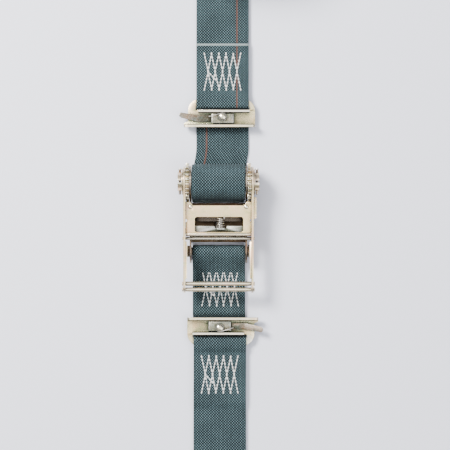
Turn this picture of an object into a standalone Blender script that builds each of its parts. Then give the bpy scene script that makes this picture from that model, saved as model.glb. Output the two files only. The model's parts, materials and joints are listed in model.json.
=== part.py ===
"""Ratchet tie down for E-track: a 2 in ratchet, two strap-end fittings and 16 ft of webbing.

The model lies on a flat surface, strap along Y, seen side up.  It is drawn in the spindle's
frame (y from the spindle axis, z from the table), and the group empty sets that frame so that
the world origin is the centre of the base plate's underside.
"""
import math

import bmesh
import bpy
from mathutils import Matrix, Vector

MM = 0.001

# Clearances
GAP = 0.3 * MM              # between pieces that touch
SIDE_PLAY = 0.4 * MM        # between the plates stacked along the spindle

# Webbing
STRAP_W = 50.8 * MM
STRAP_T = 1.8 * MM
PLY = STRAP_T + GAP         # height of one layer of webbing in a stack
TAIL_LENGTH = 48 * MM       # sewn-back end beyond a fitting's flex line

# Spindle, and what is stacked on it from the middle out
WHEEL_R = 18 * MM
SPINDLE_Z = WHEEL_R + 3 * MM
SPINDLE_R = 9 * MM
SPINDLE_SLOT = 2 * MM
PACK_R = WHEEL_R + 0.4 * MM
FRAME_INSIDE = STRAP_W / 2 + 0.7 * MM
FRAME_T = 1.6 * MM
WHEEL_IN = FRAME_INSIDE + FRAME_T + SIDE_PLAY
WHEEL_T = 3.1 * MM
ARM_IN = WHEEL_IN + WHEEL_T + SIDE_PLAY
ARM_T = 2 * MM
WASHER_IN = ARM_IN + ARM_T + GAP
WASHER_T = 1.2 * MM
WASHER_R = 12.5 * MM
COTTER_R = 1.1 * MM
COTTER_HEAD_R = 1.6 * MM
COTTER_X = WASHER_IN + WASHER_T + GAP + COTTER_HEAD_R
COTTER_REACH = 12.5 * MM
SPINDLE_END = COTTER_X + COTTER_R + 1 * MM

# Ratchet wheels
TEETH = 24
TOOTH_H = 3.1 * MM
TOOTH_TIP = math.radians(3.6)
TOOTH_ROOT = math.radians(8.4)
WHEEL_PHASE = math.radians(166.2)   # direction of one gap, where the drive pawl enters

# Frame
BASE_CENTRE = -40 * MM
BASE_HALF = 16.5 * MM
FRAME_BEND = 3 * MM
FRAME_SCARF = 3.5 * MM      # slope from the base plate's front edge up to the side plates
FRAME_LOBE = 15.5 * MM
FRAME_TOP = SPINDLE_Z - 1.5 * MM
PIN_Y = -67 * MM
PIN_Z = 8 * MM
PIN_R = 4 * MM
PIN_HEAD_R = 6 * MM
PIN_HEAD_T = 2.4 * MM
TAIL_R = FRAME_TOP - PIN_Z

# Pawls
PAWL_T = 2.2 * MM
NOSE_T = 1.2 * MM
PAWL_ENGAGE = 2 * MM
PAWL_RETRACT = 4.5 * MM
DRIVE_Z = SPINDLE_Z + 4.1 * MM
DRIVE_WING = -WHEEL_R - 1.5 * MM
DRIVE_FRONT = DRIVE_WING - 3.5 * MM
DRIVE_REAR = -49.9 * MM
DRIVE_LIP_R = 1.9 * MM
WINDOW = (-22.7 * MM, 23.7 * MM, -48.4 * MM, -33.9 * MM)
LUG_REAR = -35.8 * MM
LUG_FRONT = DRIVE_WING + 4.7 * MM
LUG_REACH = 2.8 * MM        # how far the right lug stands out past its arm
LOCK_Z = SPINDLE_Z - 9 * MM
LOCK_FRONT = -WHEEL_R - 2.5 * MM
LOCK_WING = (LOCK_FRONT - 10.5 * MM, -WHEEL_R - 0.6 * MM)
LOCK_REAR = LOCK_FRONT - 17.5 * MM

# Handle
ARM_LOBE = 14.5 * MM
ARM_END = -106.5 * MM
ARM_TOP = SPINDLE_Z + 9 * MM
ARM_BOTTOM = SPINDLE_Z - 2.2 * MM
ARM_FLANGE = 3.6 * MM
TIE_ROD_Y = -54.4 * MM
TIE_ROD_R = 1.5 * MM
TIE_ROD_Z = (FRAME_TOP + DRIVE_Z - DRIVE_LIP_R) / 2   # under the drive pawl's lip, over the frame
TIE_TENON_R = 1 * MM
GRIP_Z = SPINDLE_Z + 3.6 * MM
GRIP_YS = (ARM_END + 8.7 * MM, ARM_END + 3.1 * MM)
GRIP_R = 2.1 * MM
GRIP_TENON_R = 1.3 * MM
CROSS_Z = (DRIVE_Z - 4.9 * MM, DRIVE_Z - 3.1 * MM)
CROSS_Y = (-52 * MM, -42.6 * MM)
SEAT_Y = (-45.9 * MM, -44.6 * MM)
SPRING_X = 2.2 * MM
SPRING_R = 3.4 * MM
SPRING_WIRE = 0.5 * MM

# Strap-end fittings, in their own frame: x along the slot, y towards the strap, z up
FIT_T = 2.2 * MM
FIT_Z = 2 * PLY             # underside of the plate, above two layers of webbing
FIT_LEFT = -33.4 * MM
FIT_RIGHT = 31.5 * MM
FIT_END = 17.9 * MM
FIT_CORNER = 12 * MM
SLOT = (6.6 * MM, 9.7 * MM)
SLOT_HALF = STRAP_W / 2 + 1 * MM
LIP_Y = -9.9 * MM           # outer face of the lower lip
LIP_TOP = 14 * MM
LIP_LEFT = -37.3 * MM
FLAP_TOP = 13 * MM
FLAP_LEFT = -23.5 * MM
FLEX_Y = 23.2 * MM          # line across the strap where the fitting swings
RIVET_R = 1.6 * MM
UPPER_AT = (3.9 * MM, 62.9 * MM)
LOWER_AT = (1.2 * MM, -140.9 * MM)

# Strap runs beyond the fittings
ROLL_Y = 250 * MM
ROLL_R = 51.5 * MM
ROLL_CORE = 12 * MM
FOLD_Y = -336 * MM
FOLD_R = 3 * MM

GROUP = "ratchet_tie_down"
FILL_TURN = 0.37            # any angle that no outline's edges lie at


def clear_scene():
    for obj in list(bpy.data.objects):
        bpy.data.objects.remove(obj, do_unlink=True)


clear_scene()
parts = bpy.data.collections.new(GROUP)
cutters = bpy.data.collections.new(GROUP + "_cutters")
for collection in (parts, cutters):
    bpy.context.scene.collection.children.link(collection)


def make_material(name, color, roughness, metallic):
    material = bpy.data.materials.new(name)
    material.use_nodes = True
    shader = material.node_tree.nodes["Principled BSDF"]
    shader.inputs["Base Color"].default_value = (*color, 1)
    shader.inputs["Roughness"].default_value = roughness
    shader.inputs["Metallic"].default_value = metallic
    return material


FINISHES = {
    "yellow_zinc": ((0.78, 0.68, 0.42), 0.35, 1.0),
    "pale_zinc": ((0.70, 0.70, 0.64), 0.38, 1.0),
    "brass_nut": ((0.70, 0.54, 0.24), 0.40, 1.0),
    "spring_steel": ((0.30, 0.28, 0.25), 0.45, 1.0),
    "webbing": ((0.12, 0.19, 0.20), 0.85, 0.0),
    "tie_band": ((0.05, 0.05, 0.055), 0.85, 0.0),
}


def axis_empty(name, location, parent=None):
    empty = bpy.data.objects.new(name, None)
    empty.empty_display_size = 10 * MM
    empty.location = location
    empty.parent = parent
    parts.objects.link(empty)
    bpy.context.view_layer.update()
    return empty


station = axis_empty("spindle_station", (0, -BASE_CENTRE, 0))


def add_part(obj, finish, holder):
    """Give a piece its finish and hang it, in the spindle's frame, on its holder."""
    for collection in list(obj.users_collection):
        collection.objects.unlink(obj)
    parts.objects.link(obj)
    color, roughness, metallic = FINISHES[finish]
    obj.data.materials.clear()
    obj.data.materials.append(make_material(obj.name + "_finish", color, roughness, metallic))
    placed = station.matrix_world @ obj.matrix_world
    obj.parent = holder
    obj.matrix_parent_inverse = holder.matrix_world.inverted()
    obj.matrix_basis = placed
    return obj


def hide_cutter(obj):
    for collection in list(obj.users_collection):
        collection.objects.unlink(obj)
    cutters.objects.link(obj)
    obj.hide_render = True
    obj.display_type = "WIRE"
    return obj


def cut(obj, other, operation="DIFFERENCE"):
    """Boolean one mesh with another and keep the result as the piece's own mesh."""
    hide_cutter(other)
    other.name = obj.name + "_cutter"
    modifier = obj.modifiers.new("cut", "BOOLEAN")
    modifier.operation = operation
    modifier.solver = "EXACT"
    modifier.object = other
    bpy.context.view_layer.update()
    depsgraph = bpy.context.evaluated_depsgraph_get()
    mesh = bpy.data.meshes.new_from_object(obj.evaluated_get(depsgraph))
    obj.modifiers.clear()
    obj.data = mesh
    tidy = bmesh.new()
    tidy.from_mesh(mesh)
    bmesh.ops.remove_doubles(tidy, verts=tidy.verts, dist=0.002 * MM)
    tidy.to_mesh(mesh)
    tidy.free()
    return obj


def smooth(obj, angle=35):
    obj.data.shade_smooth()
    obj.data.set_sharp_from_angle(angle=math.radians(angle))
    return obj


PLAN = Matrix.Identity(4)                                                    # u, v are x, y
SIDE = Matrix(((0, 0, 1, 0), (1, 0, 0, 0), (0, 1, 0, 0), (0, 0, 0, 1)))      # u, v are y, z
FRONT = Matrix(((1, 0, 0, 0), (0, 0, -1, 0), (0, 1, 0, 0), (0, 0, 0, 1)))    # u, v are x, z


def arc(centre, radius, start, end, steps):
    """Points of an arc; angles in degrees."""
    points = []
    for i in range(steps + 1):
        angle = math.radians(start + (end - start) * i / steps)
        points.append((centre[0] + radius * math.cos(angle), centre[1] + radius * math.sin(angle)))
    return points


def ring(centre, radius, steps=24):
    return arc(centre, radius, 0, 360 - 360 / steps, steps - 1)


def box_outline(u0, u1, v0, v1, radius=0.0, steps=4):
    if radius == 0:
        return [(u0, v0), (u1, v0), (u1, v1), (u0, v1)]
    corners = (((u1 - radius, v0 + radius), -90), ((u1 - radius, v1 - radius), 0),
               ((u0 + radius, v1 - radius), 90), ((u0 + radius, v0 + radius), 180))
    points = []
    for centre, start in corners:
        points += arc(centre, radius, start, start + 90, steps)
    return points


def stamped(name, loops, low, high, plane):
    """A flat plate from its outline, with holes as further loops, between two offsets.

    The outline is turned while it is filled, because corners level with each other tear the fill.
    """
    turn = Matrix.Rotation(FILL_TURN, 4, "Z")
    curve = bpy.data.curves.new(name, "CURVE")
    curve.dimensions = "2D"
    curve.fill_mode = "BOTH"
    curve.extrude = (high - low) / 2
    for loop in loops:
        spline = curve.splines.new("POLY")
        spline.points.add(len(loop) - 1)
        for point, (u, v) in zip(spline.points, loop):
            point.co = turn @ Vector((u, v, 0, 1))
        spline.use_cyclic_u = True
    guide = bpy.data.objects.new(name + "_outline", curve)
    cutters.objects.link(guide)
    bpy.context.view_layer.update()
    depsgraph = bpy.context.evaluated_depsgraph_get()
    mesh = bpy.data.meshes.new_from_object(guide.evaluated_get(depsgraph))
    bpy.data.objects.remove(guide)
    shape = bmesh.new()
    shape.from_mesh(mesh)
    bmesh.ops.remove_doubles(shape, verts=shape.verts, dist=0.001 * MM)
    bmesh.ops.recalc_face_normals(shape, faces=shape.faces)
    bmesh.ops.dissolve_limit(shape, angle_limit=0.001, verts=[], edges=shape.edges)
    bmesh.ops.triangulate(shape, faces=shape.faces, ngon_method="BEAUTY")
    shape.to_mesh(mesh)
    shape.free()
    mesh.transform(plane @ Matrix.Translation((0, 0, (low + high) / 2)) @ turn.inverted())
    obj = bpy.data.objects.new(name, mesh)
    cutters.objects.link(obj)
    return obj


def bent_sheet(name, path, across, thickness, along):
    """A sheet that follows a path of points, as wide as across, with a wall about the path."""
    shape = bmesh.new()
    low, high = across
    rows = []
    for point in path:
        if along == "X":        # path in (x shift, y, z), width along x
            ends = [(point[0] + low, point[1], point[2]), (point[0] + high, point[1], point[2])]
        else:                   # path in (x, z), width along y
            ends = [(point[0], low, point[1]), (point[0], high, point[1])]
        rows.append([shape.verts.new(end) for end in ends])
    for first, second in zip(rows, rows[1:]):
        shape.faces.new((first[0], first[1], second[1], second[0]))
    mesh = bpy.data.meshes.new(name)
    shape.to_mesh(mesh)
    shape.free()
    obj = bpy.data.objects.new(name, mesh)
    cutters.objects.link(obj)
    wall = obj.modifiers.new("wall", "SOLIDIFY")
    wall.thickness = thickness
    wall.offset = 0
    wall.use_even_offset = True
    bpy.context.view_layer.update()
    depsgraph = bpy.context.evaluated_depsgraph_get()
    mesh = bpy.data.meshes.new_from_object(obj.evaluated_get(depsgraph))
    obj.modifiers.clear()
    obj.data = mesh
    shape = bmesh.new()
    shape.from_mesh(mesh)
    bmesh.ops.recalc_face_normals(shape, faces=shape.faces)
    shape.to_mesh(mesh)
    shape.free()
    return obj


def turned(name, profile, axis, at, steps=24):
    """A turned piece; the profile is (radius, height) from its top end to its bottom end."""
    mesh = bpy.data.meshes.new(name)
    points = [(radius, 0, height) for radius, height in profile]
    mesh.from_pydata(points, [(i, i + 1) for i in range(len(points) - 1)], [])
    obj = bpy.data.objects.new(name, mesh)
    cutters.objects.link(obj)
    screw = obj.modifiers.new("turn", "SCREW")
    screw.axis = "Z"
    screw.steps = steps
    screw.render_steps = steps
    screw.use_merge_vertices = True
    screw.merge_threshold = 0.001 * MM
    obj.rotation_euler = {"X": (0, math.pi / 2, 0), "Y": (-math.pi / 2, 0, 0), "Z": (0, 0, 0)}[axis]
    obj.location = at
    bpy.context.view_layer.update()
    return obj


def coil(name, radius, wire, start, end, turns, tail=(), per_turn=12, axis="Y"):
    """A wire spring between two points on its axis, with tail as loose points after it."""
    curve = bpy.data.curves.new(name, "CURVE")
    curve.dimensions = "3D"
    curve.bevel_depth = wire
    curve.bevel_resolution = 2
    curve.use_fill_caps = True
    count = int(turns * per_turn)
    points = []
    for i in range(count + 1):
        turn = 2 * math.pi * i / per_turn
        share = i / count
        u = radius * math.cos(turn)
        v = radius * math.sin(turn)
        if axis == "Y":
            points.append((start[0] + u, start[1] + (end[1] - start[1]) * share, start[2] + v))
        else:
            points.append((start[0] + u, start[1] + v, start[2] + (end[2] - start[2]) * share))
    points += list(tail)
    spline = curve.splines.new("POLY")
    spline.points.add(len(points) - 1)
    for point, co in zip(spline.points, points):
        point.co = (*co, 1)
    obj = bpy.data.objects.new(name, curve)
    cutters.objects.link(obj)
    return obj


# Joint axes, as empties that the moving pieces hang on

frame_holder = station
spool_holder = axis_empty("spool_axis", (0, 0, SPINDLE_Z), station)
handle_holder = axis_empty("handle_axis", (0, 0, SPINDLE_Z), station)
drive_holder = axis_empty("drive_pawl_slide", (0, DRIVE_FRONT, DRIVE_Z), handle_holder)
drive_holder.location = (0, DRIVE_FRONT, DRIVE_Z - SPINDLE_Z)
lock_holder = axis_empty("lock_pawl_slide", (0, LOCK_FRONT, LOCK_Z), station)
bpy.context.view_layer.update()


# Frame

def nose_front(height):
    """How far forward a pawl's nose may stand and still clear the tooth tips."""
    reach = abs(height - SPINDLE_Z) - NOSE_T / 2
    return -math.sqrt((WHEEL_R + GAP) ** 2 - reach ** 2)


def add_base_frame():
    middle = FRAME_INSIDE + FRAME_T / 2
    radius = FRAME_BEND - FRAME_T / 2
    low = FRAME_T / 2
    path = [(-middle, 45 * MM)]
    path += arc((-middle + radius, low + radius), radius, 180, 270, 5)
    path += arc((middle - radius, low + radius), radius, 270, 360, 5)
    path += [(middle, 45 * MM)]
    reach = (PIN_Y - TAIL_R - 5 * MM, FRAME_LOBE + 5 * MM)
    frame = bent_sheet("base_frame", path, reach, FRAME_T, "Y")

    front = BASE_CENTRE + BASE_HALF
    rear = BASE_CENTRE - BASE_HALF
    tail_low = FRAME_BEND + 0.4 * MM
    tail_angle = math.degrees(math.asin((PIN_Z - tail_low) / TAIL_R))
    outline = [(rear, -1 * MM), (front, -1 * MM), (front + FRAME_SCARF, tail_low + 0.6 * MM)]
    outline += arc((0, SPINDLE_Z), FRAME_LOBE, -110, 150, 22)
    outline += [(DRIVE_WING - 1 * MM, FRAME_TOP)]
    outline += arc((PIN_Y, PIN_Z), TAIL_R, 90, 180 + tail_angle, 10)
    outline += [(rear - 3 * MM, tail_low)]
    wide = middle + 10 * MM
    cut(frame, stamped("side_outline", [outline], -wide, wide, SIDE), "INTERSECT")

    spindle_hole = ring((0, SPINDLE_Z), SPINDLE_R + GAP, 28)
    cut(frame, stamped("spindle_hole", [spindle_hole], -wide, wide, SIDE))
    pin_hole = ring((PIN_Y, PIN_Z), PIN_R + GAP)
    cut(frame, stamped("pin_hole", [pin_hole], -wide, wide, SIDE))
    slot = box_outline(LOCK_WING[0] - PAWL_RETRACT - GAP, LOCK_FRONT + PAWL_ENGAGE + GAP,
                       LOCK_Z - PAWL_T / 2 - GAP, LOCK_Z + PAWL_T / 2 + GAP, 1 * MM, 2)
    cut(frame, stamped("lock_slot", [slot], -wide, wide, SIDE))

    lug_y = LOCK_REAR - 11 * MM
    lug = stamped("spring_lug", [box_outline(-5 * MM, 5 * MM, 1 * MM, LOCK_Z + 4 * MM, 1.5 * MM)],
                  -lug_y, -lug_y + 1.6 * MM, FRONT)
    cut(frame, lug, "UNION")
    add_part(smooth(frame), "yellow_zinc", frame_holder)
    return lug_y


def add_strap_pin():
    inner = FRAME_INSIDE + FRAME_T + GAP
    end = inner + PIN_HEAD_T + 0.8 * MM
    profile = [(0, inner + PIN_HEAD_T), (PIN_HEAD_R - 0.8 * MM, inner + PIN_HEAD_T),
               (PIN_HEAD_R, inner + PIN_HEAD_T - 0.8 * MM), (PIN_HEAD_R, inner), (PIN_R, inner),
               (PIN_R, -end + 0.5 * MM), (PIN_R - 0.5 * MM, -end), (0, -end)]
    pin = turned("strap_pin", profile, "X", (0, PIN_Y, PIN_Z))
    add_part(pin, "pale_zinc", frame_holder)
    flats = [(PIN_Y + (PIN_HEAD_R + 0.3 * MM) * math.cos(math.radians(60 * i + 30)),
              PIN_Z + (PIN_HEAD_R + 0.3 * MM) * math.sin(math.radians(60 * i + 30))) for i in range(6)]
    hole = ring((PIN_Y, PIN_Z), PIN_R + GAP)
    nut = stamped("strap_pin_nut", [flats, hole], -inner - PIN_HEAD_T, -inner, SIDE)
    add_part(nut, "brass_nut", frame_holder)


# Spool

def add_spindle():
    for name, side in (("spindle_half_front", 1), ("spindle_half_rear", -1)):
        flat = SPINDLE_SLOT / 2
        lean = math.degrees(math.acos(flat / SPINDLE_R))
        middle = 0 if side > 0 else 180
        outline = arc((0, SPINDLE_Z), SPINDLE_R, middle - lean, middle + lean, 14)
        half = stamped(name, [outline], -SPINDLE_END, SPINDLE_END, SIDE)
        for end in (-1, 1):
            hole = ring((end * COTTER_X, SPINDLE_Z), COTTER_R + GAP, 12)
            cut(half, stamped("cotter_hole", [hole], -SPINDLE_R * 2, SPINDLE_R * 2, FRONT))
        add_part(smooth(half), "yellow_zinc", spool_holder)


def add_wheels():
    outline = []
    for tooth in range(TEETH):
        middle = WHEEL_PHASE + 2 * math.pi * (tooth + 0.5) / TEETH
        for radius, spread in ((WHEEL_R - TOOTH_H, -TOOTH_ROOT), (WHEEL_R, -TOOTH_TIP),
                               (WHEEL_R, TOOTH_TIP), (WHEEL_R - TOOTH_H, TOOTH_ROOT)):
            angle = middle + spread / 2
            outline.append((radius * math.cos(angle), SPINDLE_Z + radius * math.sin(angle)))
    flat = SPINDLE_SLOT / 2 - GAP
    bore = SPINDLE_R + GAP
    lean = math.degrees(math.acos(flat / bore))
    holes = [arc((0, SPINDLE_Z), bore, middle - lean, middle + lean, 12) for middle in (0, 180)]
    for name, low in (("ratchet_wheel_left", -WHEEL_IN - WHEEL_T), ("ratchet_wheel_right", WHEEL_IN)):
        wheel = stamped(name, [outline, *holes], low, low + WHEEL_T, SIDE)
        add_part(wheel, "pale_zinc", spool_holder)


def add_spindle_ends():
    for name, side in (("left", -1), ("right", 1)):
        low = WASHER_IN if side > 0 else -WASHER_IN - WASHER_T
        loops = [ring((0, SPINDLE_Z), WASHER_R, 28), ring((0, SPINDLE_Z), SPINDLE_R + GAP, 28)]
        washer = stamped("spindle_washer_" + name, loops, low, low + WASHER_T, SIDE)
        add_part(smooth(washer), "yellow_zinc", handle_holder)
        profile = [(0, COTTER_REACH), (COTTER_HEAD_R, COTTER_REACH),
                   (COTTER_HEAD_R, COTTER_REACH - 1.2 * MM), (COTTER_R, COTTER_REACH - 1.2 * MM),
                   (COTTER_R, -COTTER_REACH + 0.5 * MM), (COTTER_R - 0.5 * MM, -COTTER_REACH),
                   (0, -COTTER_REACH)]
        pin = turned("spindle_pin_" + name, profile, "Y", (side * COTTER_X, 0, SPINDLE_Z), 14)
        add_part(pin, "spring_steel", spool_holder)


def add_spool_webbing():
    loops = [ring((0, SPINDLE_Z), PACK_R, 48), ring((0, SPINDLE_Z), SPINDLE_R + GAP, 32)]
    half = FRAME_INSIDE - 0.5 * MM
    add_part(smooth(stamped("webbing_on_spool", loops, -half, half, SIDE)), "webbing", spool_holder)


# Lock pawl, in the frame

def nose(height, wing, x_low, x_high):
    """A pawl's tapered nose, from inside its wing to the tooth tips, just thinner than the wing."""
    tip = nose_front(height)
    shoulder = wing - 0.3 * MM
    root = shoulder - 2 * MM
    half = PAWL_T / 2 - 0.05 * MM
    outline = [(root, height - half), (shoulder, height - half),
               (tip, height - NOSE_T / 2), (tip, height + NOSE_T / 2),
               (shoulder, height + half), (root, height + half)]
    return stamped("nose", [outline], x_low, x_high, SIDE)


def add_noses(pawl, height, wing):
    inset = 0.15 * MM
    for low in (-WHEEL_IN - WHEEL_T + inset, WHEEL_IN + inset):
        cut(pawl, nose(height, wing, low, low + WHEEL_T - 2 * inset), "UNION")


def add_lock_pawl(lug_y):
    body = FRAME_INSIDE - GAP
    out = WHEEL_IN + WHEEL_T
    rear, wing = LOCK_WING
    half = [(body, LOCK_REAR), (body, rear), (out, rear), (out, wing),
            (WHEEL_IN, wing), (WHEEL_IN, LOCK_FRONT)]
    outline = half + [(-x, y) for x, y in reversed(half)]
    pawl = stamped("lock_pawl", [outline], LOCK_Z - PAWL_T / 2, LOCK_Z + PAWL_T / 2, PLAN)
    add_noses(pawl, LOCK_Z, wing)
    add_part(pawl, "pale_zinc", lock_holder)
    start = (0, LOCK_REAR - GAP - SPRING_WIRE, LOCK_Z)
    end = (0, lug_y + GAP + SPRING_WIRE, LOCK_Z)
    spring = coil("lock_pawl_spring", 2.8 * MM, SPRING_WIRE, start, end, 5)
    add_part(spring, "spring_steel", frame_holder)


# Handle

def add_arms():
    outline = arc((0, SPINDLE_Z), ARM_LOBE, 225, 475, 24)
    rear = ARM_END + 6.5 * MM
    outline += [(-24 * MM, ARM_TOP + 0.4 * MM), (rear, ARM_TOP - 0.2 * MM)]
    middle = (ARM_TOP + ARM_BOTTOM) / 2
    outline += arc((ARM_END + 5 * MM, middle), 5 * MM, 100, 260, 8)
    outline += [(rear, ARM_BOTTOM), (-30 * MM, ARM_BOTTOM)]
    slot = box_outline(LUG_REAR - PAWL_RETRACT - GAP, DRIVE_WING + PAWL_ENGAGE + GAP,
                       DRIVE_Z - PAWL_T / 2 - GAP, DRIVE_Z + PAWL_T / 2 + GAP, 1 * MM, 2)
    tabs = box_outline(CROSS_Y[0] + 2 * MM - GAP, CROSS_Y[1] - 2 * MM + GAP,
                       CROSS_Z[0] - GAP, CROSS_Z[1] + GAP)
    holes = [ring((0, SPINDLE_Z), SPINDLE_R + GAP, 28), slot, tabs]
    holes += [ring((y, GRIP_Z), GRIP_TENON_R + GAP, 16) for y in GRIP_YS]
    holes += [ring((TIE_ROD_Y, TIE_ROD_Z), TIE_TENON_R + GAP, 16)]
    for name, side in (("handle_arm_left", -1), ("handle_arm_right", 1)):
        low = ARM_IN if side > 0 else -ARM_IN - ARM_T
        arm = stamped(name, [outline, *holes], low, low + ARM_T, SIDE)
        inner = ARM_IN + ARM_T - ARM_FLANGE
        xs = sorted((side * inner, side * (ARM_IN + ARM_T / 2)))
        flange = stamped("flange", [box_outline(*xs, ARM_END + 13.5 * MM, TIE_ROD_Y - 3 * MM)],
                         ARM_TOP - 2.2 * MM, ARM_TOP - 0.6 * MM, PLAN)
        cut(arm, flange, "UNION")
        add_part(smooth(arm), "yellow_zinc", handle_holder)


def rod_profile(radius, tenon):
    shoulder = ARM_IN - GAP
    outside = ARM_IN + ARM_T + GAP
    head = outside + 0.9 * MM
    half = [(0, head), (radius - 0.3 * MM, head), (radius, head - 0.4 * MM), (radius, outside),
            (tenon, outside), (tenon, shoulder), (radius, shoulder)]
    return half + [(r, -h) for r, h in reversed(half)]


def add_handle_bars():
    tie_rod = turned("tie_rod", rod_profile(TIE_ROD_R, TIE_TENON_R), "X", (0, TIE_ROD_Y, TIE_ROD_Z), 16)
    add_part(tie_rod, "pale_zinc", handle_holder)
    for name, y in zip(("grip_rod_inner", "grip_rod_outer"), GRIP_YS):
        rod = turned(name, rod_profile(GRIP_R, GRIP_TENON_R), "X", (0, y, GRIP_Z), 18)
        add_part(rod, "yellow_zinc", handle_holder)


def add_cross_plate():
    inner = ARM_IN - GAP
    outer = ARM_IN + ARM_T
    rear, front = CROSS_Y
    notch = SPRING_R + SPRING_WIRE + 1.2 * MM
    outline = [(-inner, rear), (inner, rear), (inner, rear + 2 * MM), (outer, rear + 2 * MM),
               (outer, front - 2 * MM), (inner, front - 2 * MM), (inner, front),
               (SPRING_X + notch + 1 * MM, front), (SPRING_X + notch, SEAT_Y[1]),
               (SPRING_X - notch, SEAT_Y[1]), (SPRING_X - notch - 1 * MM, front),
               (-inner, front), (-inner, front - 2 * MM), (-outer, front - 2 * MM),
               (-outer, rear + 2 * MM), (-inner, rear + 2 * MM)]
    plate = stamped("handle_cross_plate", [outline], *CROSS_Z, PLAN)
    seat = stamped("seat", [box_outline(SPRING_X - 4 * MM, SPRING_X + 4 * MM, CROSS_Z[0] + 0.3 * MM,
                                        DRIVE_Z + 3 * MM, 1 * MM)], -SEAT_Y[1] + 0.05 * MM, -SEAT_Y[0], FRONT)
    cut(plate, seat, "UNION")
    add_part(plate, "pale_zinc", handle_holder)


def add_drive_pawl():
    inner = ARM_IN - GAP
    left = ARM_IN + ARM_T
    right = left + LUG_REACH
    notch = 1.5 * MM
    relief = LUG_REAR - notch
    outline = [(-inner, DRIVE_REAR), (inner, DRIVE_REAR)]
    outline += arc((inner, relief), notch, 270, 90, 6)
    outline += arc((right - 2 * MM, LUG_REAR + 2 * MM), 2 * MM, 270, 360, 4)
    outline += arc((right - 1 * MM, LUG_FRONT - 1 * MM), 1 * MM, 0, 90, 3)
    outline += [(left + GAP, LUG_FRONT), (left + GAP, DRIVE_WING)]
    outline += [(FRAME_INSIDE + 1 * MM, DRIVE_WING), (FRAME_INSIDE - 1.5 * MM, DRIVE_FRONT),
                (-FRAME_INSIDE + 1.5 * MM, DRIVE_FRONT), (-FRAME_INSIDE - 1 * MM, DRIVE_WING),
                (-left, DRIVE_WING), (-left, LUG_REAR)]
    outline += arc((-inner, relief), notch, 90, -90, 6)
    window = box_outline(*WINDOW, 2 * MM)
    rivet_holes = [ring((x, DRIVE_FRONT - 1.2 * MM), RIVET_R + GAP, 14) for x in rivet_xs()]
    low = DRIVE_Z - PAWL_T / 2
    pawl = stamped("drive_pawl", [outline, window, *rivet_holes], low, low + PAWL_T, PLAN)
    reach = inner - 0.2 * MM
    lip = turned("lip", [(0, reach), (DRIVE_LIP_R, reach), (DRIVE_LIP_R, -reach), (0, -reach)],
                 "X", (0, DRIVE_REAR - 0.6 * MM, DRIVE_Z), 16)
    cut(pawl, lip, "UNION")
    add_noses(pawl, DRIVE_Z, DRIVE_WING)
    add_part(smooth(pawl), "yellow_zinc", drive_holder)


def rivet_xs():
    return (-FRAME_INSIDE - 0.6 * MM, FRAME_INSIDE + 0.6 * MM)


def add_drive_pawl_details():
    top = DRIVE_Z + PAWL_T / 2
    profile = [(0, top + 0.9 * MM), (1.5 * MM, top + 0.75 * MM), (2.1 * MM, top + GAP),
               (RIVET_R, top + GAP), (RIVET_R, DRIVE_Z - PAWL_T / 2), (0, DRIVE_Z - PAWL_T / 2)]
    for name, x in zip(("drive_pawl_rivet_left", "drive_pawl_rivet_right"), rivet_xs()):
        rivet = turned(name, profile, "Z", (x, DRIVE_FRONT - 1.2 * MM, 0), 14)
        add_part(rivet, "pale_zinc", drive_holder)
    start = (SPRING_X, WINDOW[3] - GAP - SPRING_WIRE, DRIVE_Z)
    end = (SPRING_X, SEAT_Y[1] + GAP + SPRING_WIRE, DRIVE_Z)
    spring = coil("drive_pawl_spring", SPRING_R, SPRING_WIRE, start, end, 5)
    add_part(spring, "spring_steel", handle_holder)


# Strap-end fittings

def fitting_place(at, turn):
    return Matrix.Translation((*at, 0)) @ Matrix.Rotation(turn, 4, "Z")


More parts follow.
